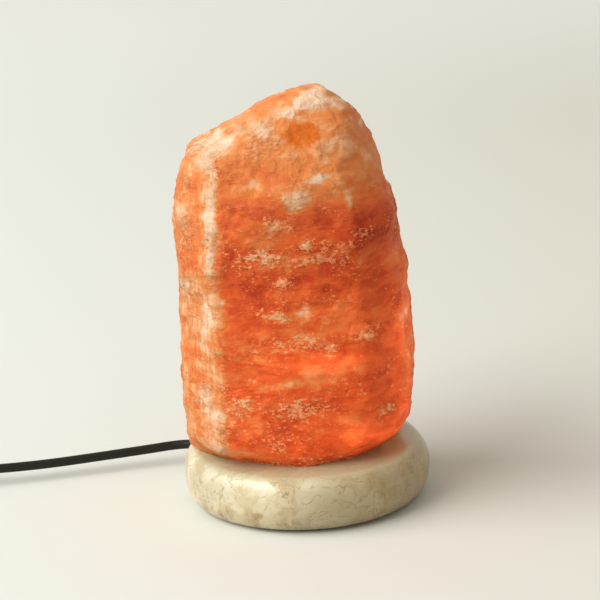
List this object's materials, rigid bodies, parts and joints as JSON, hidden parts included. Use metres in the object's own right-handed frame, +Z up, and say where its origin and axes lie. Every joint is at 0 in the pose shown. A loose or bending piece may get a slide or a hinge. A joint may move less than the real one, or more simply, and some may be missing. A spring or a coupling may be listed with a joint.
{
  "type": "salt crystal lamp",
  "caption": "Glowing rock salt block standing on a round marble base, hollowed for a small screw-in bulb, with a switched mains cord and plug.",
  "frame": {"origin": "centre of the footprint of the lamp's base, on the table", "axes": "+Z up along the axis of the base and of the bulb, -Y towards the side the lamp is seen from, -X towards the cord's switch and plug"},
  "size_m": [0.3568, 0.1581, 0.21],
  "materials": {
    "marble": "gloss",
    "salt": "satin",
    "felt": "matte",
    "black_plastic": "satin",
    "black_rubber": "matte",
    "holder_plastic": "satin",
    "block_ceramic": "matte",
    "cord_sheath": "satin",
    "core_brown": "satin",
    "brass": "satin",
    "plated_brass": "gloss",
    "steel": "satin",
    "clear_glass": "gloss",
    "black_glass": "gloss",
    "tungsten": "matte",
    "clamp_plastic": "matte"
  },
  "bodies": {
    "base": {"marble_base": "marble", "felt_pads": "felt", "cord_bush": "black_rubber", "holder_cap": "holder_plastic", "holder_sleeve": "holder_plastic", "terminal_block": "block_ceramic", "threaded_shell": "plated_brass", "centre_contact": "brass", "side_contact": "brass", "terminal_screws": "brass", "cord_clamp": "clamp_plastic", "cord_clamp_screws": "steel", "spring_clip": "steel", "clip_rivet": "steel", "cord_in_base": "cord_sheath", "holder_cores": "core_brown", "cord_to_switch": "cord_sheath", "cord_to_coil": "cord_sheath", "cord_coil": "cord_sheath", "cord_to_plug": "cord_sheath", "switch_lower_shell": "black_plastic", "switch_upper_shell": "black_plastic", "rocker_pin": "steel", "middle_contact": "brass", "end_contact": "brass", "switch_cores": "core_brown", "switch_screws": "steel", "cord_anchors": "clamp_plastic", "cord_anchor_screws": "steel", "plug_body": "black_plastic", "plug_relief": "black_rubber", "plug_pins": "plated_brass", "plug_pin_sleeves": "black_plastic"},
    "crystal": {"salt_crystal": "salt"},
    "bulb": {"bulb_glass": "clear_glass", "bulb_cap": "plated_brass", "bulb_insulator": "black_glass", "bulb_tip": "plated_brass", "bulb_stem": "clear_glass", "bulb_leads": "tungsten", "bulb_filament": "tungsten"},
    "rocker": {"switch_rocker": "black_plastic", "rocker_bridge": "brass"}
  },
  "joints": [
    {"name": "crystal_lift", "type": "slide", "parent": "base", "child": "crystal", "axis": [0, 0, 1], "range_m": [0, 0.12]},
    {"name": "bulb_unscrew", "type": "hinge", "parent": "base", "child": "bulb", "pos_m": [0, 0, 0.05], "axis": [0, 0, 1], "range_deg": [0, 1080]},
    {"name": "switch_rock", "type": "hinge", "parent": "base", "child": "rocker", "pos_m": [-0.227, 0.0313, 0.016], "axis": [0, -1, 0], "range_deg": [0, 20]}
  ]
}
